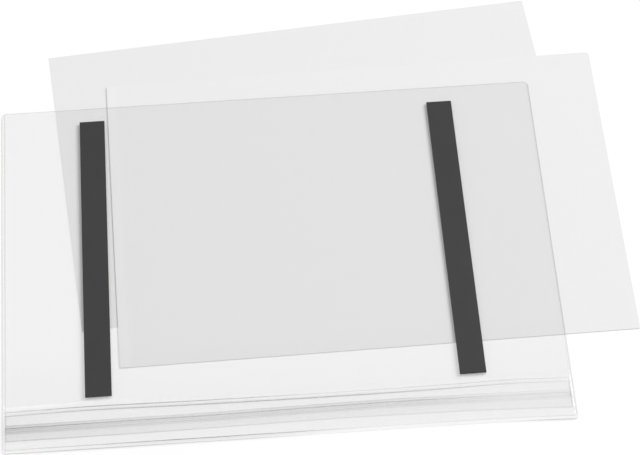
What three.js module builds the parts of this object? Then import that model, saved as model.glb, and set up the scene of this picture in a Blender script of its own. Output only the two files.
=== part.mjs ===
// Clear A4 landscape document pocket, lying back side up on its two insert sheets.
//
// Millimetres, +Z up. X runs along the pocket's long side, Y across it, and the press closure
// is at the -Y side. The pieces are laid out round the middle of the pocket's body. The whole
// is then shifted, so that the origin is the middle of the footprint, on the table.

import * as THREE from "three";

// Insert sheets: A4 laid landscape.
const sheetLength = 297;
const sheetWidth = 210;
const sheetThickness = 0.2;
const roundSheetCorner = 3;
const restGap = 0.1;

// Where each sheet's middle lies, from the middle of the pocket's body, and its turn in degrees.
const squareSheetPlace = { x: 24.8, y: 60.8, turn: 4.53 };
const roundSheetPlace = { x: 52.9, y: 24.2, turn: 0.76 };

// Films of the pocket, the weld that joins them at the left, right and top, and the room that
// they leave round a sheet.
const filmThickness = 0.2;
const filmGap = 0.3;
const weldWidth = 1;
const weldShoulder = 0.7;
const sidePlay = 10.3;
const depthPlay = 9.9;
const topCorner = 3.5;
const lipCorner = 2;
const lipLength = 9.8;
const lipStagger = 3.1;
const tableGap = 0.1;

// Magnetic strips and the tape that holds each of them.
const stripWidth = 15;
const stripThickness = 1;
const stripEndInset = 10.8;
const stripSideInset = 47.5;
const stripMargin = 0.5;
const tapeThickness = 0.1;

// Press closure across its width: flange, guide ridge, groove and lower flange.
const upperFlange = 5.4;
const flangeStagger = 2.8;
const ridgeWidth = 1.6;
const ridgeToGroove = 0.7;
const grooveWidth = 3.5;
const lowerFlange = 4.5;
const flangeMargin = 0.5;
const closureEndGap = 0.3;

// Press closure in height, and the section of its rib and its hooked jaws.
const flangeThickness = 0.25;
const trackHeight = 1.3;
const trackGap = 0.1;
const trackPlay = 0.25;
const ridgeGap = 0.4;
const ridgeChamfer = 0.4;
const jawWall = 0.7;
const hookHeight = 0.35;
const ribStem = 0.6;
const tipChamfer = 0.45;

// Film grid: rows in a rounded corner and in a ramp, and columns and rows of the plain body.
const cornerRows = 5;
const rampRows = 5;
const bodyColumns = 12;
const bodyRows = 6;
const leastStep = 0.01;
const sheetArcSegments = 8;

// Plan of the pocket.
const weldBand = weldWidth + weldShoulder;
const flangeWidth = upperFlange + ridgeWidth + ridgeToGroove + grooveWidth + lowerFlange;
const pocketWidth = sheetLength + 2 * (sidePlay + weldBand);
const bodyDepth = weldBand + sheetWidth + depthPlay;
const topEdge = bodyDepth / 2;
const ribFlangeTop = -bodyDepth / 2;
const grooveFlangeTop = ribFlangeTop + flangeStagger;
const flangeBottom = ribFlangeTop - flangeWidth;
const frontLipEdge = flangeBottom - lipLength;
const backLipEdge = frontLipEdge + lipStagger;
const stripLength = bodyDepth - 2 * stripEndInset;
const stripX = pocketWidth / 2 - stripSideInset - stripWidth / 2;
const closureLength = pocketWidth - 2 * (weldBand + closureEndGap);

// Bulge of the films over the closure: rows where it starts, is full, is full no more, and ends.
const bulgeStart = -stripLength / 2 - stripMargin;
const bulgeFull = grooveFlangeTop + flangeMargin;
const bulgeFullEnd = flangeBottom - flangeMargin;
const bulgeEnd = backLipEdge + lipCorner;

// Heights, from the table up.
const squareSheetLevel = 0;
const roundSheetLevel = squareSheetLevel + sheetThickness + restGap;
const frontFilmLevel = roundSheetLevel + sheetThickness + restGap;
const weldLevel = frontFilmLevel + filmThickness + filmGap / 2;
const backFilmTop = weldLevel + filmGap / 2 + filmThickness;
const frontDrop = frontFilmLevel - tableGap;
const closureHeight = 2 * flangeThickness + trackHeight;
const backRise = closureHeight - filmGap - frontDrop;
const closureBase = weldLevel - filmGap / 2 - frontDrop;
const tapeLevel = backFilmTop;
const stripLevel = tapeLevel + tapeThickness;

const clearFilm = new THREE.MeshStandardMaterial({
  color: 0xf2f4f5,
  roughness: 0.12,
  metalness: 0,
  transparent: true,
  opacity: 0.3,
});
const clearClosure = new THREE.MeshStandardMaterial({
  color: 0xd9dcde,
  roughness: 0.2,
  metalness: 0,
  transparent: true,
  opacity: 0.6,
});
const magnet = new THREE.MeshStandardMaterial({ color: 0x454545, roughness: 0.6, metalness: 0 });
const tape = new THREE.MeshStandardMaterial({ color: 0xb9b6ae, roughness: 0.5, metalness: 0 });
const paper = new THREE.MeshStandardMaterial({ color: 0xefefef, roughness: 0.85, metalness: 0 });

const pocket = new THREE.Group();

// Each piece has its own copy of its material.
function add(name, geometry, material) {
  const mesh = new THREE.Mesh(geometry, material.clone());
  mesh.name = name;
  pocket.add(mesh);
  return mesh;
}

// Smooth step from 0 to 1.
function ease(t) {
  return t * t * (3 - 2 * t);
}

// Share of the way from a to b that v has gone, held between 0 and 1.
function share(v, a, b) {
  return THREE.MathUtils.clamp((v - a) / (b - a), 0, 1);
}

// Values from a to b in equal steps, both ends included.
function steps(a, b, count) {
  return Array.from({ length: count + 1 }, (_, i) => a + ((b - a) * i) / count);
}

// Rows across a rounded corner, from the edge inwards, close together where the arc is steep.
function cornerSteps(edge, inwards, radius) {
  return steps(0, Math.PI / 2, cornerRows).map((angle) => {
    return edge + inwards * radius * (1 - Math.cos(angle));
  });
}

// The values in rising order, each once.
function inOrder(values) {
  const rising = [...values].sort((a, b) => a - b);
  return rising.filter((v, i) => i === 0 || v - rising[i - 1] > leastStep);
}

// How far a rounded corner draws the side in, at a row this far from the corner's edge.
function cornerInset(distance, radius) {
  if (distance >= radius) return 0;
  return radius - Math.sqrt(radius * radius - (radius - distance) ** 2);
}

// 0 where the films are welded together, and 1 inside the weld's shoulder.
function openness(x, y) {
  const fromSide = pocketWidth / 2 - Math.abs(x);
  const fromTop = topEdge - y;
  return share(Math.min(fromSide, fromTop), weldWidth, weldBand);
}

// 1 over the closure, and 0 over the body and at the lips.
function bulge(y) {
  const rise = ease(share(y, bulgeStart, bulgeFull));
  const fall = ease(share(y, bulgeEnd, bulgeFullEnd));
  return Math.min(rise, fall);
}

function frontInside(x, y) {
  return weldLevel - openness(x, y) * (filmGap / 2 + frontDrop * bulge(y));
}

function backInside(x, y) {
  return weldLevel + openness(x, y) * (filmGap / 2 + backRise * bulge(y));
}

// Film: a box of one layer, whose grid is moved to the pocket's columns and rows. Its inner
// face has the height that inside gives, and its outer face lies a film's thickness away.
function filmGeometry(lipEdge, inside, outwards) {
  const half = pocketWidth / 2;
  const columns = inOrder([
    -half,
    -half + weldWidth,
    ...steps(weldBand - half, half - weldBand, bodyColumns),
    half - weldWidth,
    half,
  ]);
  const rows = inOrder([
    ...cornerSteps(lipEdge, 1, lipCorner),
    ...steps(bulgeEnd, bulgeFullEnd, rampRows),
    ...steps(bulgeFull, bulgeStart, rampRows),
    ...steps(bulgeStart, topEdge - topCorner, bodyRows),
    ...cornerSteps(topEdge, -1, topCorner),
    topEdge - weldWidth,
    topEdge - weldBand,
  ]);
  const across = columns.length - 1;
  const along = rows.length - 1;
  const geometry = new THREE.BoxGeometry(across, along, 1, across, along, 1);
  const position = geometry.getAttribute("position");
  for (let i = 0; i < position.count; i += 1) {
    const column = Math.round(position.getX(i) + across / 2);
    const row = Math.round(position.getY(i) + along / 2);
    const outer = position.getZ(i) * outwards > 0;
    const y = rows[row];
    const inset = cornerInset(y - lipEdge, lipCorner) + cornerInset(topEdge - y, topCorner);
    const x = (columns[column] * (half - inset)) / half;
    const z = inside(x, y) + (outer ? outwards * filmThickness : 0);
    position.setXYZ(i, x, y, z);
  }
  geometry.computeVertexNormals();
  return geometry;
}

add("front_film", filmGeometry(frontLipEdge, frontInside, -1), clearFilm);
add("back_film", filmGeometry(backLipEdge, backInside, 1), clearFilm);

// Closure strip: a section in Y and Z, extruded along X.
function closureGeometry(points) {
  const section = new THREE.Shape(points.map(([y, z]) => new THREE.Vector2(y, z)));
  const geometry = new THREE.ExtrudeGeometry(section, {
    depth: closureLength,
    bevelEnabled: false,
  });
  const alongY = new THREE.Vector3(0, 1, 0);
  const alongZ = new THREE.Vector3(0, 0, 1);
  const alongX = new THREE.Vector3(1, 0, 0);
  geometry.applyMatrix4(new THREE.Matrix4().makeBasis(alongY, alongZ, alongX));
  geometry.translate(-closureLength / 2, 0, 0);
  return geometry;
}

const ridgeTop = ribFlangeTop - upperFlange;
const ridgeBottom = ridgeTop - ridgeWidth;
const grooveTop = ridgeBottom - ridgeToGroove;
const grooveBottom = grooveTop - grooveWidth;
const grooveMiddle = (grooveTop + grooveBottom) / 2;

// Rib strip: a flange on the front film, a guide ridge, and a rib whose arrow head is caught
// behind the hooks of the groove. Heights are from the flange's inner face.
const ridgeHeight = trackHeight - ridgeGap;
const headBase = trackGap + hookHeight + trackGap;
const headTop = trackHeight - trackGap;
const headShoulder = (headBase + headTop) / 2;
const headHalf = grooveWidth / 2 - jawWall - trackPlay;
const tipHalf = headHalf - tipChamfer;
const stemHalf = ribStem / 2;
const ribSection = [
  [flangeBottom, 0],
  [flangeBottom, -flangeThickness],
  [ribFlangeTop, -flangeThickness],
  [ribFlangeTop, 0],
  [ridgeTop, 0],
  [ridgeTop - ridgeChamfer, ridgeHeight],
  [ridgeBottom + ridgeChamfer, ridgeHeight],
  [ridgeBottom, 0],
  [grooveMiddle + stemHalf, 0],
  [grooveMiddle + stemHalf, headBase],
  [grooveMiddle + headHalf, headBase],
  [grooveMiddle + headHalf, headShoulder],
  [grooveMiddle + tipHalf, headTop],
  [grooveMiddle - tipHalf, headTop],
  [grooveMiddle - headHalf, headShoulder],
  [grooveMiddle - headHalf, headBase],
  [grooveMiddle - stemHalf, headBase],
  [grooveMiddle - stemHalf, 0],
];
const ribStrip = add("closure_rib_strip", closureGeometry(ribSection), clearClosure);
ribStrip.position.z = closureBase + flangeThickness;

// Groove strip: a flange on the back film, and two jaws that hang from it and hook inwards.
// Heights are from the flange's inner face, so the jaws are below zero.
const jawFoot = -(trackHeight - trackGap);
const hookTop = jawFoot + hookHeight;
const mouthHalf = stemHalf + trackPlay;
const grooveSection = [
  [flangeBottom, flangeThickness],
  [flangeBottom, 0],
  [grooveBottom, 0],
  [grooveBottom, jawFoot],
  [grooveMiddle - mouthHalf, jawFoot],
  [grooveMiddle - mouthHalf, hookTop],
  [grooveBottom + jawWall, hookTop],
  [grooveBottom + jawWall, 0],
  [grooveTop - jawWall, 0],
  [grooveTop - jawWall, hookTop],
  [grooveMiddle + mouthHalf, hookTop],
  [grooveMiddle + mouthHalf, jawFoot],
  [grooveTop, jawFoot],
  [grooveTop, 0],
  [grooveFlangeTop, 0],
  [grooveFlangeTop, flangeThickness],
];
const grooveStrip = add("closure_groove_strip", closureGeometry(grooveSection), clearClosure);
grooveStrip.position.z = closureBase + flangeThickness + trackHeight;

// Magnetic strips on the back film, each on its tape.
for (const [side, sign] of [["left", -1], ["right", 1]]) {
  const tapeLayer = new THREE.BoxGeometry(stripWidth, stripLength, tapeThickness);
  const tapeMesh = add(`adhesive_tape_${side}`, tapeLayer, tape);
  tapeMesh.position.set(sign * stripX, 0, tapeLevel + tapeThickness / 2);
  const bar = new THREE.BoxGeometry(stripWidth, stripLength, stripThickness);
  const barMesh = add(`magnetic_strip_${side}`, bar, magnet);
  barMesh.position.set(sign * stripX, 0, stripLevel + stripThickness / 2);
}

// Insert sheet: a rectangle of paper, with an arc at each corner if the radius isn't zero.
function sheetGeometry(radius) {
  const x = sheetLength / 2;
  const y = sheetWidth / 2;
  const quarter = Math.PI / 2;
  const outline = new THREE.Shape();
  outline.moveTo(x, radius - y);
  if (radius > 0) {
    outline.absarc(x - radius, y - radius, radius, 0, quarter);
    outline.absarc(radius - x, y - radius, radius, quarter, 2 * quarter);
    outline.absarc(radius - x, radius - y, radius, 2 * quarter, 3 * quarter);
    outline.absarc(x - radius, radius - y, radius, 3 * quarter, 4 * quarter);
  } else {
    outline.lineTo(x, y);
    outline.lineTo(-x, y);
    outline.lineTo(-x, -y);
  }
  return new THREE.ExtrudeGeometry(outline, {
    depth: sheetThickness,
    bevelEnabled: false,
    curveSegments: sheetArcSegments,
  });
}

function layDown(sheet, place, level) {
  sheet.position.set(place.x, place.y, level);
  sheet.rotation.z = THREE.MathUtils.degToRad(place.turn);
}

const squareSheet = add("insert_sheet_square", sheetGeometry(0), paper);
layDown(squareSheet, squareSheetPlace, squareSheetLevel);
const roundSheet = add("insert_sheet_round", sheetGeometry(roundSheetCorner), paper);
layDown(roundSheet, roundSheetPlace, roundSheetLevel);

// Origin: the middle of the footprint, on the table.
const part = new THREE.Group();
part.add(pocket);
const middle = new THREE.Box3().setFromObject(pocket, true).getCenter(new THREE.Vector3());
pocket.position.set(-middle.x, -middle.y, 0);
part.updateMatrixWorld(true);

export default part;
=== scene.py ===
"""A clear A4 document pocket with two magnetic strips on its back, lying on its insert sheets.

Metres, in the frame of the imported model. Sizes in millimetres are turned to metres by MM. The
pieces come first, from the films to the sheets, then the materials, the stage and the camera.
"""

import math

import bpy
import numpy as np
from mathutils import Matrix, Vector


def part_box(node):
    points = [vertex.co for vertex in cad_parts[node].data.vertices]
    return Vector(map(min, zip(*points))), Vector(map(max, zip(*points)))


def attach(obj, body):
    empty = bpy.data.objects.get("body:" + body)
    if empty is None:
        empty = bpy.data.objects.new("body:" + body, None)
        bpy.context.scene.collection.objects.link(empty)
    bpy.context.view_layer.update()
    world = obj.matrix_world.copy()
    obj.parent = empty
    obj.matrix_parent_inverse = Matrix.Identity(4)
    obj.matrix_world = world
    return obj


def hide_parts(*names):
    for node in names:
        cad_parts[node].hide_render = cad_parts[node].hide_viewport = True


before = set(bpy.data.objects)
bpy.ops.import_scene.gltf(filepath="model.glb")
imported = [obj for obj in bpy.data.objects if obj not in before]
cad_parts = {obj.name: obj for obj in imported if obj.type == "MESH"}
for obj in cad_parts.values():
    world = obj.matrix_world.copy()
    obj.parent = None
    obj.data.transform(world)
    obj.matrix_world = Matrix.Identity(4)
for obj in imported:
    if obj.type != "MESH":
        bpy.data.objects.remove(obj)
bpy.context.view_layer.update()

MM = 0.001

# The camera that the photograph was taken with, worked out from the two A4 sheets. Its target
# and origin are in that fit's own plan.
FOCAL_PIXELS = 2817.3
PHOTO_WIDTH = 640
SENSOR_MM = 36.0
CAMERA_ELEVATION = math.radians(52.33)
CAMERA_ROLL = math.radians(-1.373)
CAMERA_YAW = math.radians(2.922)
CAMERA_DISTANCE = 1653.7 * MM
CAMERA_TARGET = (36.5 * MM, 10.4 * MM)
CAMERA_ORIGIN = 10.64 * MM

# Thickness of the films and the sheets, the pocket's welds and the radii of its corners. The
# films part between the weld and the end of the weld's band.
FILM = 0.2 * MM
PAPER = 0.2 * MM
SEAM_GAP = 0.02 * MM
WELD_WIDTH = 1.0 * MM
WELD_BAND = 1.7 * MM
TOP_CORNER = 3.5 * MM
LIP_CORNER = 2.0 * MM

# How finely the pieces are divided: steps round a quarter circle, and rows and columns.
SHEET_ARC = 9
STRIP_ARC = 4
FILM_COLUMNS = 162
BODY_ROWS = 106
CLOSURE_ROWS = 13
SLOPE_ROWS = 9
CLOSURE_STATIONS = 180
PAPER_COLUMNS = 85
PAPER_ROWS = 60
CURL_COLUMNS = 8
NEAREST_ROWS = 0.02 * MM


def placed(node):
    """Low and high corner of a CAD node as arrays."""
    low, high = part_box(node)
    return np.array(low), np.array(high)


front_low, front_high = placed("front_film")
back_low, back_high = placed("back_film")
rib_low, rib_high = placed("closure_rib_strip")
groove_high = placed("closure_groove_strip")[1]
left_low, left_high = placed("magnetic_strip_left")
tape_low = placed("adhesive_tape_left")[0]

# The pocket's own plan: x from its middle line, and y from the middle of its magnetic strips.
pocket_x = (front_low[0] + front_high[0]) / 2
pocket_y = (left_low[1] + left_high[1]) / 2
half_width = (front_high[0] - front_low[0]) / 2
top_edge = front_high[1] - pocket_y
front_lip = front_low[1] - pocket_y
back_lip = back_low[1] - pocket_y
flange_bottom = rib_low[1] - pocket_y
rib_flange_top = rib_high[1] - pocket_y
groove_flange_top = groove_high[1] - pocket_y
strip_end = left_low[1] - pocket_y

# The magnetic strips and their tapes are stuck on by hand. How far the lower and the upper end
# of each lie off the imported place, along X and Y, as the photograph shows them.
LEFT_STUCK = np.array([(-0.56, -1.4), (-0.06, -0.3)]) * MM
RIGHT_STUCK = np.array([(-0.32, -2.26), (-0.73, -1.65)]) * MM

# Heights of the films: the weld, the flat body and the bulge over the closure.
weld_level = back_low[2]
body_half_gap = tape_low[2] - FILM - weld_level
front_drop = weld_level - body_half_gap - FILM - front_low[2]
back_rise = back_high[2] - FILM - body_half_gap - weld_level

# Rows where the films' bulge over the closure starts, is full, is full no more, and ends.
BULGE_MARGIN = 0.5 * MM
bulge_start = strip_end + RIGHT_STUCK[0, 1] - BULGE_MARGIN
bulge_full = groove_flange_top + BULGE_MARGIN
bulge_full_end = flange_bottom - BULGE_MARGIN
bulge_end = back_lip + LIP_CORNER

# Section of the closure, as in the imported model: flanges, track, guide ridge, groove with its
# jaws and hooks, and the rib's stem and arrow head. EDGE_BAND is how wide a flange's edge shows.
FLANGE = 0.25 * MM
TRACK_HEIGHT = (groove_high[2] - rib_low[2]) - 2 * FLANGE
TRACK_GAP = 0.1 * MM
UPPER_FLANGE = 5.4 * MM
RIDGE_WIDTH = 1.6 * MM
RIDGE_CHAMFER = 0.4 * MM
RIDGE_GAP = 0.4 * MM
GROOVE_INSET = 7.7 * MM
GROOVE_WIDTH = 3.5 * MM
JAW_WALL = 0.7 * MM
HOOK_HEIGHT = 0.35 * MM
STEM_HALF = 0.3 * MM
TRACK_PLAY = 0.25 * MM
TIP_CHAMFER = 0.45 * MM
EDGE_BAND = 0.6 * MM

rib_base = rib_low[2] + FLANGE
groove_base = groove_high[2] - FLANGE
ridge_top = rib_flange_top - UPPER_FLANGE
ridge_bottom = ridge_top - RIDGE_WIDTH
groove_top = rib_flange_top - GROOVE_INSET
groove_bottom = groove_top - GROOVE_WIDTH
groove_middle = (groove_top + groove_bottom) / 2
head_base = 2 * TRACK_GAP + HOOK_HEIGHT
head_top = TRACK_HEIGHT - TRACK_GAP
head_half = GROOVE_WIDTH / 2 - JAW_WALL - TRACK_PLAY
tip_half = head_half - TIP_CHAMFER

# How far the closure and the lips wander from a straight line along the pocket, towards its
# open edge: places along X and the wander there, all in millimetres.
FLANGE_WANDER = (
    (-165, -0.5),
    (-110, -1.3),
    (-60, -0.4),
    (-10, 0.15),
    (40, 0.35),
    (90, 0.1),
    (125, -0.5),
    (165, 1.1),
)
TRACK_WANDER = (
    (-165, 0.25),
    (-100, 0.15),
    (-40, 0.1),
    (20, -0.6),
    (60, -0.8),
    (100, -0.4),
    (165, 0.6),
)
FOOT_WANDER = ((-165, 0.5), (-85, 0.5), (-25, 0.0), (35, -0.5), (65, -0.2), (95, 0.2), (165, 2.6))
LIP_WANDER = ((-165, -0.4), (-60, -0.1), (0, 0.0), (60, -0.1), (100, 0.0), (135, 0.5), (165, 1.4))

# How much nearer to each other the two flanges' top edges and the two lips lie than where the
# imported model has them, each one's share.
FLANGE_SHIFT = 0.65 * MM
LIP_SHIFT = 0.5 * MM


def curve_through(points, x):
    """Smooth curve through points, whose places are in millimetres: each span is a cubic that
    leaves and meets its ends with the mean slope of the spans on both sides."""
    place, value = (np.array(c, float) for c in zip(*points))
    place = place * MM
    slope = np.gradient(value, place)
    span = np.clip(np.searchsorted(place, x) - 1, 0, len(place) - 2)
    width = place[span + 1] - place[span]
    t = np.clip((x - place[span]) / width, 0, 1)
    return (
        (2 * t**3 - 3 * t**2 + 1) * value[span]
        + (t**3 - 2 * t**2 + t) * width * slope[span]
        + (3 * t**2 - 2 * t**3) * value[span + 1]
        + (t**3 - t**2) * width * slope[span + 1]
    )


def wander(x, y):
    """Shift in Y of a point of the closure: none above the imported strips' lower ends, then each
    row's own curve, and in between a share of both neighbours."""
    rows = (
        (rib_flange_top, FLANGE_WANDER),
        (ridge_top, TRACK_WANDER),
        (groove_bottom, TRACK_WANDER),
        (flange_bottom, FOOT_WANDER),
        (back_lip, LIP_WANDER),
    )
    shift = np.zeros_like(x)
    below, past = strip_end, shift
    for row, points in rows:
        here = curve_through(points, x) * MM
        share = np.clip((below - y) / (below - row), 0, 1)
        shift = np.where(y <= below, past + (here - past) * share, shift)
        below, past = row, here
    return -shift


def ease(t):
    """Smooth step from 0 to 1."""
    t = np.clip(t, 0, 1)
    return t * t * (3 - 2 * t)


def openness(x, y):
    """0 on the weld at the sides and the top, and 1 inside its shoulder."""
    inwards = np.minimum(half_width - np.abs(x), top_edge - y)
    return np.clip((inwards - WELD_WIDTH) / (WELD_BAND - WELD_WIDTH), 0, 1)


def bulge(y):
    """1 over the closure, and 0 over the body and at the lips."""
    rise = ease((bulge_start - y) / (bulge_start - bulge_full))
    fall = ease((y - bulge_end) / (bulge_full_end - bulge_end))
    return np.minimum(rise, fall)


# Waves of the films: share of the full height, radians per metre along X and Y, and phase.
WAVES = ((0.5, 31, 9, 0.4), (0.3, -17, 43, 1.9), (0.2, 71, 58, 4.0))


def ripple(x, y):
    """Faint waves of a film that has been rolled: three crossing sines, at most 1 high."""
    return sum(share * np.sin(a * x + b * y + phase) for share, a, b, phase in WAVES)


def stations(*parts):
    """The values of the parts in rising order, without those that all but repeat the last."""
    values = np.sort(np.concatenate(parts))
    return values[np.r_[True, np.diff(values) > NEAREST_ROWS]]


def grid_mesh(name, low, high, haze_and_shade=0.0, edge_shade=0.0):
    """Closed sheet: two grids of points, rows by columns, the high one with its faces up and the
    low one with its faces down, and a wall that joins their borders. The third argument is the
    milkiness of the grid faces, the plastic's own and painted shade, one value or one for each,
    and the fourth that of the wall, which is painted shade."""
    rows, columns = low.shape[:2]
    count = rows * columns
    index = np.arange(count).reshape(rows, columns)
    top = np.stack([index[:-1, :-1], index[:-1, 1:], index[1:, 1:], index[1:, :-1]], -1)
    border = np.concatenate([index[0, :-1], index[:-1, -1], index[-1, :0:-1], index[:0:-1, 0]])
    after = np.roll(border, -1)
    wall = np.stack([border, after, after + count, border + count], -1)
    faces = np.concatenate([top.reshape(-1, 4) + count, top.reshape(-1, 4)[:, ::-1], wall])
    points = np.concatenate([low.reshape(-1, 3), high.reshape(-1, 3)])
    made = mesh_object(name, points, faces)
    cells = np.broadcast_to(haze_and_shade, (rows - 1, columns - 1)).ravel()
    set_haze_and_shade(made, np.concatenate([cells, cells, np.full(len(wall), edge_shade)]))
    return made


def mesh_object(name, points, faces):
    """Object at the origin with these points and faces, which rides on the part's one body."""
    mesh = bpy.data.meshes.new(name)
    mesh.from_pydata(points.tolist(), [], [list(f) for f in faces])
    mesh.update()
    made = bpy.data.objects.new(name, mesh)
    bpy.context.scene.collection.objects.link(made)
    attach(made, "root")
    return made


def set_haze_and_shade(made, values):
    """Milkiness of each face, which the clear plastics read, partly the plastic's own and mostly
    painted shade.
    """
    attribute = made.data.attributes.new("haze_and_shade", "FLOAT", "FACE")
    attribute.data.foreach_set("value", values.astype(np.float32))


def corner_inset(distance, radius):
    """How far an arc of this radius draws the side in, at a row this far from the edge."""
    reach = np.clip(radius - distance, 0, radius)
    return radius - np.sqrt(radius**2 - reach**2)


def film_grid(lip):
    """Columns and rows of a film from its lip to its top edge, as x and y from the pocket's
    middle. Rows inside a rounded corner are drawn in by the corner's arc."""
    columns = stations(
        np.linspace(-half_width, half_width, FILM_COLUMNS),
        [s * (half_width - w) for s in (-1, 1) for w in (CUT_BAND, WELD_WIDTH, *SHOULDER_LINE_PLACE)],
    )
    quarter = 1 - np.cos(np.linspace(0, math.pi / 2, SHEET_ARC))
    rows = stations(
        lip + LIP_CORNER * quarter,
        [lip + CUT_BAND, top_edge - CUT_BAND],
        top_edge - TOP_CORNER * quarter,
        np.linspace(bulge_end, bulge_full_end, SLOPE_ROWS),
        np.linspace(bulge_full_end, bulge_full, CLOSURE_ROWS),
        np.linspace(bulge_full, bulge_start, SLOPE_ROWS),
        np.linspace(bulge_start, top_edge - TOP_CORNER, BODY_ROWS),
        [top_edge - WELD_WIDTH, top_edge - WELD_BAND],
    )
    x, y = np.meshgrid(columns, rows)
    inset = corner_inset(y - lip, LIP_CORNER) + corner_inset(top_edge - y, TOP_CORNER)
    return x * (half_width - inset) / half_width, y


def in_frame(x, y, z):
    """Points of the pocket's plan as points of the frame, with the closure's wander in Y."""
    return np.stack([x + pocket_x, y + wander(x, y) + pocket_y, z], -1)


def face_centres(values):
    """Mean of each grid cell's four corners."""
    return (values[:-1, :-1] + values[1:, :-1] + values[:-1, 1:] + values[1:, 1:]) / 4


# Height of the films' waves, the bands near their edges that are milky, and how milky. 0 is
# clear and 1 is all milk. This milk is painted shade: along the cut edges, the cut walls and the
# left weld's inner shoulder it stands in for the dark lines that clear film shows where it bends
# the light. The part near the closure is painted shade that greys the film towards the closure,
# from none to full.
RIPPLE_HEIGHT = 0.06 * MM
CUT_BAND = 0.6 * MM
SHOULDER_LINE_PLACE = (1.7 * MM, 2.3 * MM)
LEFT_EDGE_SHADE = 0.036
RIGHT_EDGE_SHADE = 0.04
TOP_EDGE_SHADE = 0.004
CLOSURE_SHADE = 0.006
CUT_WALL_SHADE = 0.3
CLOSURE_SHADE_FROM = -60 * MM
CLOSURE_SHADE_TO = -100 * MM

# Painted shade on the two lips' cut edges along the pocket, drawn as milkiness: places in
# millimetres, and the value there. It stands in for the dark line of each cut edge, which comes
# and goes along the pocket with the shade that falls on it.
BACK_LIP_SHADE = (
    (-165, 0.05),
    (-140, 0.12),
    (-110, 0.2),
    (-55, 0.4),
    (0, 0.25),
    (35, 0.04),
    (100, 0.04),
    (140, 0.05),
    (165, 0.1),
)
FRONT_LIP_SHADE = (
    (-165, 0.08),
    (-115, 0.25),
    (-55, 0.16),
    (-20, 0.14),
    (10, 0.02),
    (90, 0.02),
    (125, 0.05),
    (150, 0.22),
    (165, 0.2),
)


def film_painted_shade(x, y, lip, lip_shade):
    """Milkiness of a film, which is all painted shade: at its cut edges, in a line along the left
    weld's inner shoulder, and a little towards the closure, where the film is drawn greyer."""
    left = half_width + x
    right = half_width - x
    shoulder_line = (left > SHOULDER_LINE_PLACE[0]) & (left < SHOULDER_LINE_PLACE[1])
    haze_and_shade = np.where((left < CUT_BAND) | shoulder_line, LEFT_EDGE_SHADE, 0.0)
    haze_and_shade = np.where(right < CUT_BAND, RIGHT_EDGE_SHADE, haze_and_shade)
    haze_and_shade = np.maximum(haze_and_shade, CLOSURE_SHADE * ease((CLOSURE_SHADE_FROM - y) / (CLOSURE_SHADE_FROM - CLOSURE_SHADE_TO)))
    haze_and_shade = np.maximum(haze_and_shade, np.where(top_edge - y < CUT_BAND, TOP_EDGE_SHADE, 0.0))
    return np.maximum(haze_and_shade, np.where(y - lip < CUT_BAND, curve_through(lip_shade, x), 0.0))


def sheet_place(node, turn, slide, x, y):
    """Where points of the frame lie in an insert sheet's own length and width."""
    low, high = placed(node)
    x = x - (low[0] + high[0]) / 2 - slide[0]
    y = y - (low[1] + high[1]) / 2 - slide[1]
    return x * math.cos(turn) + y * math.sin(turn), y * math.cos(turn) - x * math.sin(turn)


# The insert sheets: A4, each turned in plan, and slid along X and Y from its packed place.
SHEET_LENGTH = 297 * MM
SHEET_WIDTH = 210 * MM
SQUARE_TURN = math.radians(4.53)
ROUND_TURN = math.radians(0.76)
SQUARE_SLIDE = np.array([0.3, 0.85]) * MM
ROUND_SLIDE = np.array([0.65, 0.8]) * MM

# The upper sheet's left edge curls up and lifts the front film, whose rise is highest a little
# inside that edge, reaches further than the curl, and ends past the sheet's two long sides.
CURL = 0.27 * MM
CURL_REACH = 7 * MM
TENT_TOP = 1 * MM
TENT_REACH = 1.5 * CURL_REACH
TENT_PAST = 5 * MM


def curl(u):
    """Rise of the upper insert sheet near its left edge, by the place along its length."""
    return CURL * (1 - ease((u + SHEET_LENGTH / 2) / CURL_REACH))


def curl_in_film(x, y):
    """Rise of the front film over the curled edge: a smooth step up to it from both sides."""
    u, v = sheet_place("insert_sheet_round", ROUND_TURN, ROUND_SLIDE, x, y)
    away = np.abs(u + SHEET_LENGTH / 2 - TENT_TOP)
    return CURL * (1 - ease(away / TENT_REACH)) * (np.abs(v) < SHEET_WIDTH / 2 + TENT_PAST)


def film(name, lip, side, lip_shade):
    """One film of the pocket. Its inner face lies off the weld's level by half the gap, and more
    over the closure, to the side given by side, 1 up or -1 down. A faint ripple is added away
    from the weld and the closure, and in the front film the rise over the curled sheet. The
    outer face is a film's thickness away."""
    x, y = film_grid(lip)
    swell = back_rise if side > 0 else front_drop
    waves = RIPPLE_HEIGHT * ripple(x + pocket_x, y + pocket_y) * openness(x, y)
    waves = waves * (1 - bulge(y))
    parting = openness(x, y) * (body_half_gap + swell * bulge(y))
    inner = weld_level + side * (SEAM_GAP / 2 + parting) + waves
    if side < 0:
        inner = inner + openness(x, y) * curl_in_film(x + pocket_x, y + pocket_y)
    outer = inner + side * FILM
    low, high = (inner, outer) if side > 0 else (outer, inner)
    haze_and_shade = film_painted_shade(face_centres(x), face_centres(y), lip, lip_shade)
    bottom = in_frame(x, y, low)
    top = in_frame(x, y, high)
    return grid_mesh(name, bottom, top, haze_and_shade, CUT_WALL_SHADE)


film_front = film("film_front", front_lip + LIP_SHIFT, -1, FRONT_LIP_SHADE)
film_back = film("film_back", back_lip - LIP_SHIFT, 1, BACK_LIP_SHADE)
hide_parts("front_film")
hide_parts("back_film")


# The closure strips' crushed ends: how far they reach, and how milky their faces and sides are.
END_BAND = 0.6 * MM
END_HAZE = 0.2
END_SIDE_HAZE = 0.05


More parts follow.
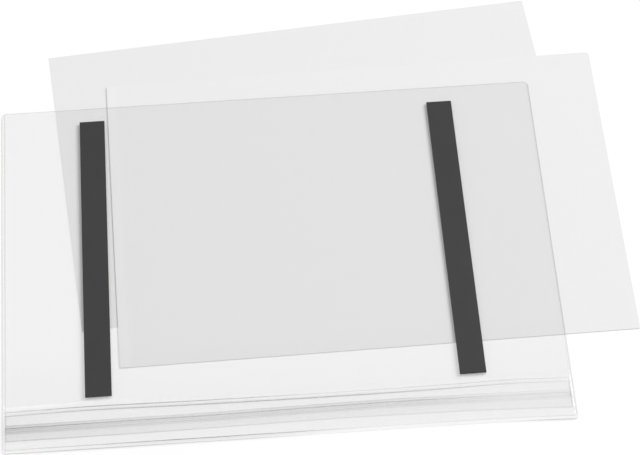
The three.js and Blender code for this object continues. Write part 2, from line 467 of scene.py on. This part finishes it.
def sweep(name, outline):
    """A closed section carried along X. outline holds, in turn round the section, y from the
    pocket's middle, z, and the milkiness of the face that starts there, partly the plastic's own
    and partly painted shade, a value or a curve along the pocket. Each point wanders in Y as the
    closure does, and the two ends are closed and crushed a little."""
    x = stations(
        np.linspace(rib_low[0], rib_high[0], CLOSURE_STATIONS) - pocket_x,
        [rib_low[0] + END_BAND - pocket_x, rib_high[0] - END_BAND - pocket_x],
    )
    y, z, milk_and_shade = zip(*outline)
    points = len(outline)
    shape = (len(x), points)
    along = np.broadcast_to(x[:, None], shape)
    across = np.broadcast_to(np.array(y), shape)
    grid = in_frame(along, across, np.broadcast_to(np.array(z), shape))
    index = np.arange(len(x) * points).reshape(shape)
    after = np.roll(index, -1, axis=1)
    sides = np.stack([index[:-1], index[1:], after[1:], after[:-1]], -1).reshape(-1, 4)
    faces = [list(f) for f in sides] + [list(index[0]), list(index[-1][::-1])]
    made = mesh_object(name, grid.reshape(-1, 3), faces)
    middle = (x[:-1] + x[1:]) / 2
    columns = [curve_through(m, middle) if np.ndim(m) else np.full(len(middle), m) for m in milk_and_shade]
    haze_and_shade = np.stack(columns, -1)
    haze_and_shade[[0, -1]] = np.maximum(haze_and_shade[[0, -1]], END_SIDE_HAZE)
    set_haze_and_shade(made, np.r_[np.clip(haze_and_shade, 0, 1).ravel(), END_HAZE, END_HAZE])
    return made


# Milkiness of the closure's faces along the pocket: places in millimetres, and the value there.
# The polyethylene is faintly milky of itself, and the rest is painted shade. The flanges' edge
# bands and the foot show as fine lines, and the walls, which are seen edge on and bend the light
# most, as the darkest ones. All fade to the right, as in the photograph: painted shade, darkest
# at the left end, which lies more in shade.
CLEAR = ((-165, 0.01), (-120, 0.0), (165, 0.0))
GROOVE_EDGE = (
    (-165, 0.12),
    (-145, 0.2),
    (-115, 0.38),
    (-55, 0.3),
    (-25, 0.22),
    (10, 0.1),
    (70, 0.1),
    (125, 0.12),
    (165, 0.04),
)
RIB_EDGE = ((-165, 0.12), (-115, 0.2), (35, 0.25), (95, 0.17), (125, 0.09), (165, 0.03))
FOOT_EDGE = ((-165, 0.2), (-85, 0.14), (35, 0.09), (125, 0.07), (165, 0.07))
LOWER = ((-165, 0.04), (0, 0.025), (165, 0.012))
SOLID = ((-165, 0.05), (-100, 0.035), (0, 0.025), (70, 0.025), (125, 0.012), (165, 0.012))
WALL = ((-165, 0.14), (-100, 0.1), (0, 0.09), (70, 0.08), (125, 0.04), (165, 0.04))
JAW = ((-165, 0.5), (-100, 0.4), (0, 0.35), (70, 0.33), (125, 0.15), (165, 0.15))
RIDGE = ((-165, 0.32), (-100, 0.22), (70, 0.2), (125, 0.08), (165, 0.05))


def rib_strip():
    """Section of the rib strip, with z from the flange's upper face: a flange on the front film,
    a guide ridge with chamfers, and a rib with an arrow head."""
    flange_top = rib_flange_top + FLANGE_SHIFT
    outline = [
        (flange_bottom, 0, CLEAR),
        (flange_bottom, -FLANGE, FOOT_EDGE),
        (flange_bottom + EDGE_BAND, -FLANGE, CLEAR),
        (flange_top - EDGE_BAND, -FLANGE, RIB_EDGE),
        (flange_top, -FLANGE, CLEAR),
        (flange_top, 0, RIB_EDGE),
        (flange_top - EDGE_BAND, 0, CLEAR),
        (ridge_top, 0, WALL),
        (ridge_top - RIDGE_CHAMFER, TRACK_HEIGHT - RIDGE_GAP, RIDGE),
        (ridge_bottom + RIDGE_CHAMFER, TRACK_HEIGHT - RIDGE_GAP, WALL),
        (ridge_bottom, 0, CLEAR),
        (groove_middle + STEM_HALF, 0, WALL),
        (groove_middle + STEM_HALF, head_base, SOLID),
        (groove_middle + head_half, head_base, WALL),
        (groove_middle + head_half, (head_base + head_top) / 2, SOLID),
        (groove_middle + tip_half, head_top, SOLID),
        (groove_middle - tip_half, head_top, SOLID),
        (groove_middle - head_half, (head_base + head_top) / 2, WALL),
        (groove_middle - head_half, head_base, SOLID),
        (groove_middle - STEM_HALF, head_base, WALL),
        (groove_middle - STEM_HALF, 0, LOWER),
        (flange_bottom + EDGE_BAND, 0, FOOT_EDGE),
    ]
    outline = [(y, z + rib_base, milk_and_shade) for y, z, milk_and_shade in outline]
    return sweep("closure_rib", outline)


def groove_strip():
    """Section of the groove strip, with z from the flange's lower face: a flange on the back
    film, and two jaws that hang from it and hook inwards."""
    foot = -head_top
    hook = foot + HOOK_HEIGHT
    mouth = STEM_HALF + TRACK_PLAY
    flange_top = groove_flange_top - FLANGE_SHIFT
    outline = [
        (flange_bottom, FLANGE, CLEAR),
        (flange_bottom, 0, LOWER),
        (groove_bottom, 0, WALL),
        (groove_bottom, foot, SOLID),
        (groove_middle - mouth, foot, WALL),
        (groove_middle - mouth, hook, SOLID),
        (groove_bottom + JAW_WALL, hook, WALL),
        (groove_bottom + JAW_WALL, 0, SOLID),
        (groove_top - JAW_WALL, 0, WALL),
        (groove_top - JAW_WALL, hook, SOLID),
        (groove_middle + mouth, hook, WALL),
        (groove_middle + mouth, foot, SOLID),
        (groove_top, foot, JAW),
        (groove_top, 0, CLEAR),
        (flange_top - EDGE_BAND, 0, GROOVE_EDGE),
        (flange_top, 0, CLEAR),
        (flange_top, FLANGE, GROOVE_EDGE),
        (flange_top - EDGE_BAND, FLANGE, CLEAR),
    ]
    outline = [(y, z + groove_base, milk_and_shade) for y, z, milk_and_shade in outline]
    return sweep("closure_groove", outline)


closure_rib = rib_strip()
closure_groove = groove_strip()
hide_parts("closure_rib_strip")
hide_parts("closure_groove_strip")


def strip(name, node, stuck, edge):
    """Magnetic strip or its tape: a bar with its edges rounded by quarter circles. Rings of a
    rounded rectangle run along Y, and draw in by the same quarter circle at both ends. The bar
    is then moved in plan by stuck, from its first row at the lower end to its second at the
    upper end."""
    low, high = placed(node)
    half = (high - low) / 2
    middle = (high + low) / 2
    turn = np.linspace(0, math.pi / 2, STRIP_ARC)
    narrowing = edge * (1 - np.sin(turn))
    inset = np.concatenate([narrowing, narrowing[::-1]])
    draw_in = edge * (1 - np.cos(turn))
    place = np.concatenate([draw_in - half[1], half[1] - draw_in[::-1]])
    corner = np.array([(1, 1), (-1, 1), (-1, -1), (1, -1)], float)
    arc = np.concatenate([turn + q * math.pi / 2 for q in range(4)])
    side = np.repeat(corner, len(turn), axis=0)
    ring = np.stack([np.cos(arc), np.sin(arc)], -1)
    outline = side * (half[[0, 2]] - edge) + ring * (edge - inset)[:, None, None]
    count, points = outline.shape[:2]
    rows = np.broadcast_to(place[:, None], (count, points))
    grid = np.stack([outline[..., 0], rows, outline[..., 1]], -1) + middle
    along = (grid[..., 1:2] - low[1]) / (high[1] - low[1])
    grid[..., :2] += stuck[0] + along * (stuck[1] - stuck[0])
    index = np.arange(count * points).reshape(count, points)
    after = np.roll(index, -1, axis=1)
    sides = np.stack([index[:-1], after[:-1], after[1:], index[1:]], -1).reshape(-1, 4)
    faces = [list(f) for f in sides] + [list(index[0][::-1]), list(index[-1])]
    made = mesh_object(name, grid.reshape(-1, 3), faces)
    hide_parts(node)
    return made


STRIP_EDGE = 0.15 * MM
TAPE_EDGE = 0.02 * MM
magnet_left = strip("magnet_left", "magnetic_strip_left", LEFT_STUCK, STRIP_EDGE)
magnet_right = strip("magnet_right", "magnetic_strip_right", RIGHT_STUCK, STRIP_EDGE)
tape_left = strip("tape_left", "adhesive_tape_left", LEFT_STUCK, TAPE_EDGE)
tape_right = strip("tape_right", "adhesive_tape_right", RIGHT_STUCK, TAPE_EDGE)


def paper_sheet(name, node, turn, slide, radii, lift):
    """Insert sheet: a grid in the sheet's own length and width, with each corner drawn in by an
    arc, turned in plan about its middle and slid a little along X and Y. radii holds the radius
    of the lower left, lower right, upper left and upper right corner. lift gives its rise off
    the level place by the place along its length."""
    low, high = placed(node)
    half_x = SHEET_LENGTH / 2
    half_y = SHEET_WIDTH / 2
    arcs = np.outer(radii, 1 - np.cos(np.linspace(0, math.pi / 2, SHEET_ARC))).ravel()
    straight = half_y - max(radii)
    rows = stations(arcs - half_y, half_y - arcs, np.linspace(-straight, straight, PAPER_ROWS))
    columns = stations(
        np.linspace(-half_x, half_x, PAPER_COLUMNS),
        np.linspace(0, CURL_REACH, CURL_COLUMNS) - half_x,
    )
    u, v = np.meshgrid(columns, rows)
    lower_left, lower_right, upper_left, upper_right = radii
    left = corner_inset(v + half_y, lower_left) + corner_inset(half_y - v, upper_left)
    right = corner_inset(v + half_y, lower_right) + corner_inset(half_y - v, upper_right)
    u = u * (1 - np.where(u < 0, left, right) / half_x)
    x = u * math.cos(turn) - v * math.sin(turn) + (low[0] + high[0]) / 2 + slide[0]
    y = u * math.sin(turn) + v * math.cos(turn) + (low[1] + high[1]) / 2 + slide[1]
    rise = lift(u)
    bottom = np.stack([x, y, low[2] + rise], -1)
    top = np.stack([x, y, low[2] + PAPER + rise], -1)
    made = grid_mesh(name, bottom, top)
    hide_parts(node)
    return made


# Corner radii. The upper sheet has one corner well rounded, and the others worn by handling.
SQUARE_CORNERS = np.full(4, 0.01) * MM
ROUND_CORNERS = np.array([0.9, 0.5, 0.9, 2.8]) * MM
paper_square = paper_sheet(
    "paper_square", "insert_sheet_square", SQUARE_TURN, SQUARE_SLIDE, SQUARE_CORNERS, np.zeros_like
)
paper_round = paper_sheet(
    "paper_round", "insert_sheet_round", ROUND_TURN, ROUND_SLIDE, ROUND_CORNERS, curl
)


# Materials.


def linear(code):
    """sRGB hex colour as linear red, green, blue and 1."""
    srgb = np.array([int(code[i : i + 2], 16) for i in (1, 3, 5)]) / 255
    rgb = np.where(srgb <= 0.04045, srgb / 12.92, ((srgb + 0.055) / 1.055) ** 2.4)
    return (*rgb.tolist(), 1.0)


def material(name):
    """New node material with only its output, and the object's own coordinates."""
    made = bpy.data.materials.new(name)
    made.use_nodes = True
    tree = made.node_tree
    tree.nodes.clear()
    output = tree.nodes.new("ShaderNodeOutputMaterial")
    coordinates = tree.nodes.new("ShaderNodeTexCoord").outputs["Object"]
    return made, tree, output.inputs["Surface"], coordinates


def node(tree, kind, inputs, **settings):
    """New node with its settings, and each of its inputs set or linked."""
    made = tree.nodes.new(kind)
    for name, value in settings.items():
        setattr(made, name, value)
    for name, value in inputs.items():
        if isinstance(value, bpy.types.NodeSocket):
            tree.links.new(value, made.inputs[name])
        else:
            made.inputs[name].default_value = value
    return made


# What one pass through a clear plastic's face leaves of the light, and the milk's roughness.
CLARITY = (0.998, 0.998, 0.998, 1)
MILK_ROUGHNESS = 0.4


def clear_plastic(name, ior, gloss_roughness, milk_and_shade, dimple_width, dimple_depth):
    """Clear sheet plastic: lets through what a Fresnel face doesn't mirror, mirrors softly, and is
    milky by each face's own value, which is partly the plastic's milkiness and mostly painted
    shade. Shallow dimples make the mirrored light waver. Light and shadows go straight through,
    and a face seen from inside takes the inverse IOR, because the rays aren't bent."""
    made, tree, surface, place = material(name)
    dimples = node(
        tree,
        "ShaderNodeTexNoise",
        {"Vector": place, "Scale": 1 / dimple_width, "Detail": 2.0, "Roughness": 0.5},
    )
    bump = node(
        tree,
        "ShaderNodeBump",
        {"Height": dimples.outputs["Fac"], "Distance": dimple_depth, "Strength": 1.0},
    )
    inside = node(tree, "ShaderNodeNewGeometry", {}).outputs["Backfacing"]
    index = node(tree, "ShaderNodeMix", {"Factor": inside, "A": ior, "B": 1 / ior})
    fresnel = node(
        tree,
        "ShaderNodeFresnel",
        {"IOR": index.outputs["Result"], "Normal": bump.outputs["Normal"]},
    )
    path = node(tree, "ShaderNodeLightPath", {})
    light = node(
        tree,
        "ShaderNodeMath",
        {0: path.outputs["Is Shadow Ray"], 1: path.outputs["Is Diffuse Ray"]},
        operation="MAXIMUM",
    )
    sight = node(tree, "ShaderNodeMath", {0: 1.0, 1: light.outputs[0]}, operation="SUBTRACT")
    mirrored = node(
        tree,
        "ShaderNodeMath",
        {0: fresnel.outputs[0], 1: sight.outputs[0]},
        operation="MULTIPLY",
    )
    through = node(tree, "ShaderNodeBsdfTransparent", {"Color": CLARITY})
    gloss = node(
        tree,
        "ShaderNodeBsdfGlossy",
        {"Color": (1, 1, 1, 1), "Roughness": gloss_roughness, "Normal": bump.outputs["Normal"]},
    )
    skin = node(
        tree,
        "ShaderNodeMixShader",
        {0: mirrored.outputs[0], 1: through.outputs[0], 2: gloss.outputs[0]},
    )
    body = node(
        tree,
        "ShaderNodeBsdfPrincipled",
        {"Base Color": linear(milk_and_shade), "Roughness": MILK_ROUGHNESS, "IOR": ior},
    )
    # The faces' milkiness mixes in grey: painted shade at edges, walls and lips, and the closure's
    # own faint milk.
    haze_and_shade = node(tree, "ShaderNodeAttribute", {}, attribute_name="haze_and_shade")
    whole = node(
        tree,
        "ShaderNodeMixShader",
        {0: haze_and_shade.outputs["Fac"], 1: skin.outputs[0], 2: body.outputs[0]},
    )
    tree.links.new(whole.outputs[0], surface)
    return made


# Ferrite-filled vinyl, calendered: the filler's grain is a few hundredths of a millimetre, drawn
# coarser so that it shows, and the rollers leave broad clouds.
VINYL_GRAIN = 0.6 * MM
VINYL_GRAIN_DEPTH = 0.02 * MM
VINYL_CLOUD = 18 * MM


def magnet_vinyl():
    """Ferrite-filled vinyl sheet, calendered matt: the eye sees a near black strip with a broad
    dull sheen, faint clouds and a fine grain."""
    made, tree, surface, place = material("magnetic_vinyl_calendered_matt")
    grain = node(
        tree, "ShaderNodeTexNoise", {"Vector": place, "Scale": 1 / VINYL_GRAIN, "Detail": 3.0}
    )
    cloud = node(
        tree, "ShaderNodeTexNoise", {"Vector": place, "Scale": 1 / VINYL_CLOUD, "Detail": 2.0}
    )
    tone = node(
        tree,
        "ShaderNodeMix",
        {"Factor": cloud.outputs["Fac"], 6: linear("#2E2E2E"), 7: linear("#343434")},
        data_type="RGBA",
    )
    bump = node(
        tree,
        "ShaderNodeBump",
        {"Height": grain.outputs["Fac"], "Distance": VINYL_GRAIN_DEPTH, "Strength": 0.6},
    )
    body = node(
        tree,
        "ShaderNodeBsdfPrincipled",
        {
            "Base Color": tone.outputs[2],
            "Roughness": 0.5,
            "IOR": 1.5,
            "Normal": bump.outputs["Normal"],
        },
    )
    tree.links.new(body.outputs[0], surface)
    return made


# Wood-free paper, uncoated and smoothed: fibres about 1 mm long, and the flocks they form.
PAPER_FLOCK = 6 * MM
PAPER_FIBRE = 0.8 * MM
PAPER_TOOTH = 0.01 * MM


def paper_stock(name, dark, light):
    """Uncoated paper, smoothed between rollers: the eye sees an even near white without gloss,
    faintly cloudy from its fibres."""
    made, tree, surface, place = material(name)
    cloud = node(
        tree, "ShaderNodeTexNoise", {"Vector": place, "Scale": 1 / PAPER_FLOCK, "Detail": 4.0}
    )
    fibre = node(
        tree, "ShaderNodeTexNoise", {"Vector": place, "Scale": 1 / PAPER_FIBRE, "Detail": 3.0}
    )
    tone = node(
        tree,
        "ShaderNodeMix",
        {"Factor": cloud.outputs["Fac"], 6: linear(dark), 7: linear(light)},
        data_type="RGBA",
    )
    bump = node(
        tree,
        "ShaderNodeBump",
        {"Height": fibre.outputs["Fac"], "Distance": PAPER_TOOTH, "Strength": 0.4},
    )
    body = node(
        tree,
        "ShaderNodeBsdfPrincipled",
        {
            "Base Color": tone.outputs[2],
            "Roughness": 0.8,
            "IOR": 1.45,
            "Specular IOR Level": 0.3,
            "Normal": bump.outputs["Normal"],
        },
    )
    tree.links.new(body.outputs[0], surface)
    return made


# Cells of the tape's foam, drawn coarser than the real tenth of a millimetre so that they show.
FOAM_CELL = 0.5 * MM


def tape_adhesive():
    """Closed-cell acrylic foam tape, cast: the eye sees a thin dull off-white line, faintly
    speckled by its cells."""
    made, tree, surface, place = material("acrylic_foam_tape_cast")
    cells = node(
        tree, "ShaderNodeTexNoise", {"Vector": place, "Scale": 1 / FOAM_CELL, "Detail": 2.0}
    )
    tone = node(
        tree,
        "ShaderNodeMix",
        {"Factor": cells.outputs["Fac"], 6: linear("#B4B1A8"), 7: linear("#C6C3BA")},
        data_type="RGBA",
    )
    body = node(
        tree, "ShaderNodeBsdfPrincipled", {"Base Color": tone.outputs[2], "Roughness": 0.6}
    )
    tree.links.new(body.outputs[0], surface)
    return made


# Soft PVC film, pressed smooth: the eye sees a clear skin with soft mirror patches, and broad
# shallow dimples from the rolled film. Its grey is painted shade, put at the edges, the weld line
# and the lips, and a little towards the closure.
film_pvc = clear_plastic(
    "soft_pvc_film_pressed_clear",
    ior=1.54,
    gloss_roughness=0.1,
    milk_and_shade="#7C7E80",
    dimple_width=22 * MM,
    dimple_depth=0.02 * MM,
)

# Low-density polyethylene, extruded: the eye sees faintly milky clear bars with duller highlights,
# and grey lines at their edges that are painted shade. Polyethylene's IOR is 1.51, matched down to
# 1.15, because the films cling to these faces and leave little for them to mirror.
closure_ldpe = clear_plastic(
    "ldpe_closure_extruded",
    ior=1.15,
    gloss_roughness=0.2,
    milk_and_shade="#6C6E70",
    dimple_width=6 * MM,
    dimple_depth=0.01 * MM,
)

finishes = (
    ((film_front, film_back), film_pvc),
    ((closure_rib, closure_groove), closure_ldpe),
    ((magnet_left, magnet_right), magnet_vinyl()),
    ((tape_left, tape_right), tape_adhesive()),
    # The lower sheet's paper is drawn a step darker than the upper's, as painted shade for the
    # shade it lies in beside the upper sheet's raised edge.
    ((paper_square,), paper_stock("paper_uncoated_lower_sheet_painted_shade", "#EDEDED", "#EFEFEF")),
    ((paper_round,), paper_stock("paper_uncoated_upper_sheet", "#EEEEEE", "#F0F0F0")),
)
for pieces, finish in finishes:
    for piece in pieces:
        piece.data.materials.append(finish)


# Stage: a pale floor that turns up into a low wall all round. Sizes are in metres.
COVE_RADIUS = 7.0
COVE_HEIGHT = 2.4
COVE_BEND = 1.2
COVE_FLAT = (0.001, 0.5, 2.0)
COVE_STEPS = 12
COVE_SPOKES = 96


def cove():
    """Floor and wall as one turned surface: rings of points about Z, flat out to the bend, then a
    quarter circle up, then straight."""
    turn = np.linspace(0, math.pi / 2, COVE_STEPS)
    round_out = COVE_RADIUS - COVE_BEND + COVE_BEND * np.sin(turn)
    out = np.concatenate([COVE_FLAT, round_out, [COVE_RADIUS]])
    flat_up = np.zeros(len(COVE_FLAT))
    up = np.concatenate([flat_up, COVE_BEND * (1 - np.cos(turn)), [COVE_HEIGHT]])
    angle = np.linspace(0, 2 * math.pi, COVE_SPOKES + 1)[:-1]
    x = out[:, None] * np.cos(angle)
    y = out[:, None] * np.sin(angle)
    z = np.broadcast_to(up[:, None], x.shape)
    index = np.arange(x.size).reshape(x.shape)
    after = np.roll(index, -1, axis=1)
    faces = np.stack([index[:-1], index[1:], after[1:], after[:-1]], -1).reshape(-1, 4)
    mesh = bpy.data.meshes.new("cove")
    mesh.from_pydata(np.stack([x, y, z], -1).reshape(-1, 3).tolist(), [], faces.tolist())
    mesh.polygons.foreach_set("use_smooth", np.ones(len(faces), bool))
    made = bpy.data.objects.new("cove", mesh)
    bpy.context.scene.collection.objects.link(made)
    return made


# The cove's paint as light finds it, and as it is seen: its own share of the light, and a glow
# that makes up the rest to white.
PAINT_WHITE = "#E8E8E8"
SEEN_SHARE = (0.6, 0.6, 0.6, 1)
SEEN_GLOW = 0.42


def cove_paint():
    """Matt white emulsion paint, rolled on. Sight, mirrors and clear plastic see it near white,
    with the shadows that fall on it."""
    made, tree, surface, _ = material("cove_emulsion_paint_matt")
    path = node(tree, "ShaderNodeLightPath", {})
    seen = node(
        tree,
        "ShaderNodeMath",
        {0: path.outputs["Is Camera Ray"], 1: path.outputs["Is Glossy Ray"]},
        operation="MAXIMUM",
    )
    seen = node(
        tree,
        "ShaderNodeMath",
        {0: seen.outputs[0], 1: path.outputs["Is Transmission Ray"]},
        operation="MAXIMUM",
    )
    paint = node(tree, "ShaderNodeBsdfDiffuse", {"Color": linear(PAINT_WHITE)})
    pale = node(tree, "ShaderNodeBsdfDiffuse", {"Color": SEEN_SHARE})
    glow = node(tree, "ShaderNodeEmission", {"Color": (1, 1, 1, 1), "Strength": SEEN_GLOW})
    bright = node(tree, "ShaderNodeAddShader", {0: pale.outputs[0], 1: glow.outputs[0]})
    both = node(
        tree,
        "ShaderNodeMixShader",
        {0: seen.outputs[0], 1: paint.outputs[0], 2: bright.outputs[0]},
    )
    tree.links.new(both.outputs[0], surface)
    return made


floor = cove()
floor.data.materials.append(cove_paint())


def softbox(name, place, size, strength):
    """Square area lamp that faces the part, with strength as the share of the full light that it
    gives on a face turned to it."""
    data = bpy.data.lights.new(name, "AREA")
    data.shape = "SQUARE"
    data.size = size
    place = Vector(place)
    data.energy = strength * math.pi**2 * place.length**2
    made = bpy.data.objects.new(name, data)
    made.location = place
    made.rotation_euler = place.to_track_quat("Z", "Y").to_euler()
    bpy.context.scene.collection.objects.link(made)


# The big lamp throws the strips' shadows to the left, and the small one softens them. The world
# gives the rest of the full light.
softbox("softbox_right", place=(3.6, 1.3, 3.8), size=3.2, strength=0.735)
softbox("softbox_top", place=(-1.2, 0.2, 3.0), size=1.6, strength=0.11)
WORLD_LIGHT = 0.42

world = bpy.data.worlds.new("studio")
bpy.context.scene.world = world
world.use_nodes = True
background = world.node_tree.nodes["Background"]
background.inputs["Color"].default_value = (1, 1, 1, 1)
background.inputs["Strength"].default_value = WORLD_LIGHT


def photo_camera():
    """Camera at the photograph's viewing angle. The fit was made in a plan turned by the yaw,
    with the top of the pocket's back film as its ground."""
    data = bpy.data.cameras.new("photo_camera")
    data.sensor_width = SENSOR_MM
    data.lens = FOCAL_PIXELS * SENSOR_MM / PHOTO_WIDTH
    e = CAMERA_ELEVATION
    forward = Vector((0, math.cos(e), -math.sin(e)))
    right = Vector((1, 0, 0))
    up = Vector((0, math.sin(e), math.cos(e)))
    place = Vector((*CAMERA_TARGET, 0)) - forward * CAMERA_DISTANCE
    turn = Matrix.Rotation(-CAMERA_YAW, 3, "Z")
    c, s = math.cos(CAMERA_ROLL), math.sin(CAMERA_ROLL)
    level = Matrix((c * right + s * up, c * up - s * right, -forward)).transposed()
    made = bpy.data.objects.new("photo_camera", data)
    shift = Vector((pocket_x - CAMERA_ORIGIN, pocket_y, tape_low[2]))
    made.matrix_world = Matrix.Translation(turn @ place + shift) @ (turn @ level).to_4x4()
    bpy.context.scene.collection.objects.link(made)
    bpy.context.scene.camera = made


photo_camera()
scene = bpy.context.scene
scene.view_settings.view_transform = "Standard"

# A ray at the closure passes more clear faces than Blender lets through by itself.
scene.cycles.transparent_max_bounces = 32
